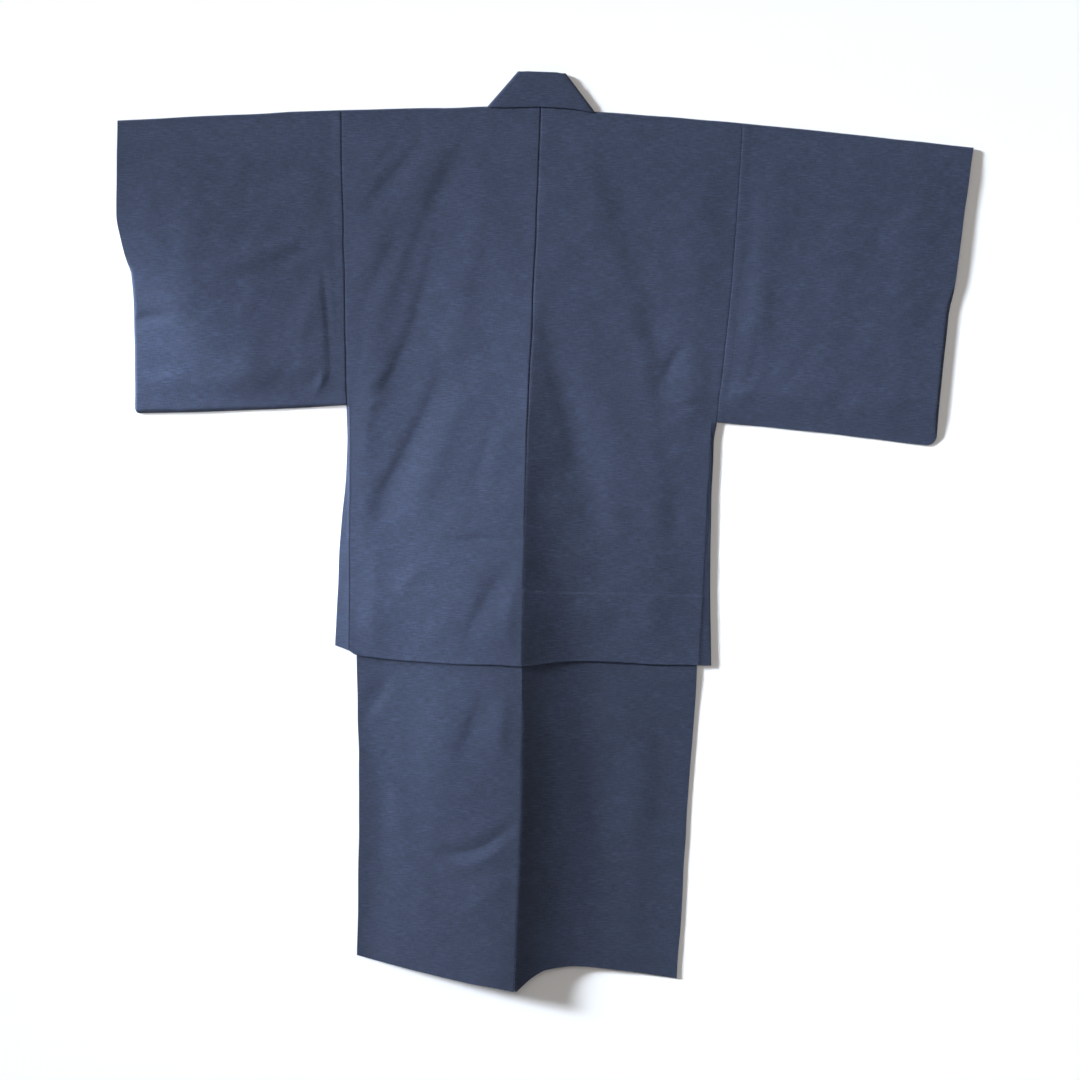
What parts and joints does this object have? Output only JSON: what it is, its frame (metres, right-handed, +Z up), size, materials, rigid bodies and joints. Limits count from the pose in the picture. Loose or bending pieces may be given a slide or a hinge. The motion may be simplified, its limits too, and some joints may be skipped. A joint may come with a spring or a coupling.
{
  "type": "kimono and haori set",
  "caption": "Man's plain navy kimono with its haori coat over it, laid out flat and face down with the sleeves spread and a raised crease down the back.",
  "frame": {"origin": "middle of the underside, where the set rests on the surface", "axes": "+X towards the wearer's right sleeve, +Y towards the collar, +Z up, out of the back of the garments; the set lies face down"},
  "size_m": [1.446, 1.5488, 0.0436],
  "materials": {
    "haori_cloth": "matt navy blue plain weave with slubbed threads",
    "kimono_cloth": "matt navy blue plain weave with slubbed threads"
  },
  "bodies": {
    "root": {"haori_body_left": "haori_cloth", "haori_body_right": "haori_cloth", "haori_gusset_left": "haori_cloth", "haori_gusset_right": "haori_cloth", "haori_sleeve_left": "haori_cloth", "haori_sleeve_right": "haori_cloth", "haori_collar": "haori_cloth", "kimono_body_left": "kimono_cloth", "kimono_body_right": "kimono_cloth", "kimono_overlap_left": "kimono_cloth", "kimono_overlap_right": "kimono_cloth", "kimono_sleeve_left": "kimono_cloth", "kimono_sleeve_right": "kimono_cloth", "kimono_collar": "kimono_cloth"}
  },
  "joints": []
}
